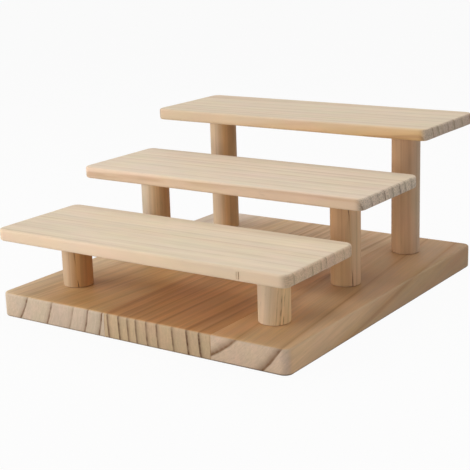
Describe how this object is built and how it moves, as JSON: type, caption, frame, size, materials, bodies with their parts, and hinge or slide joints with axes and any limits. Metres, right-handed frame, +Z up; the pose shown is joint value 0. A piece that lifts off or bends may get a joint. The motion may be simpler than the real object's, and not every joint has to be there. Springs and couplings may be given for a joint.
{
  "type": "tiered eyewear display stand",
  "caption": "Free-standing tiered pine display stand: long shelves on round posts step up from front to rear above one thick base board, for showing eyewear or small goods.",
  "frame": {"origin": "middle of the base board's underside, on the surface the stand rests on", "axes": "+X to the right along the shelves, +Y from the low front shelf to the high rear shelf, +Z up"},
  "size_m": [0.3, 0.34, 0.1521],
  "materials": {
    "pine_base": "planed and sanded, bare",
    "pine_shelf": "planed and sanded, bare",
    "pine_post": "turned and sanded, bare",
    "beech_pin": "fluted, bare",
    "zinc_plated_steel": "bright zinc plate"
  },
  "bodies": {
    "root": {"base_left_stave": "pine_base", "base_middle_stave": "pine_base", "base_right_stave": "pine_base", "front_shelf": "pine_shelf", "middle_shelf": "pine_shelf", "rear_shelf": "pine_shelf", "front_left_post": "pine_post", "front_right_post": "pine_post", "middle_left_post": "pine_post", "middle_right_post": "pine_post", "rear_left_post": "pine_post", "rear_right_post": "pine_post", "front_left_dowel_pin": "beech_pin", "front_right_dowel_pin": "beech_pin", "middle_left_dowel_pin": "beech_pin", "middle_right_dowel_pin": "beech_pin", "rear_left_dowel_pin": "beech_pin", "rear_right_dowel_pin": "beech_pin", "front_left_base_screw": "zinc_plated_steel", "front_right_base_screw": "zinc_plated_steel", "middle_left_base_screw": "zinc_plated_steel", "middle_right_base_screw": "zinc_plated_steel", "rear_left_base_screw": "zinc_plated_steel", "rear_right_base_screw": "zinc_plated_steel"}
  },
  "joints": []
}
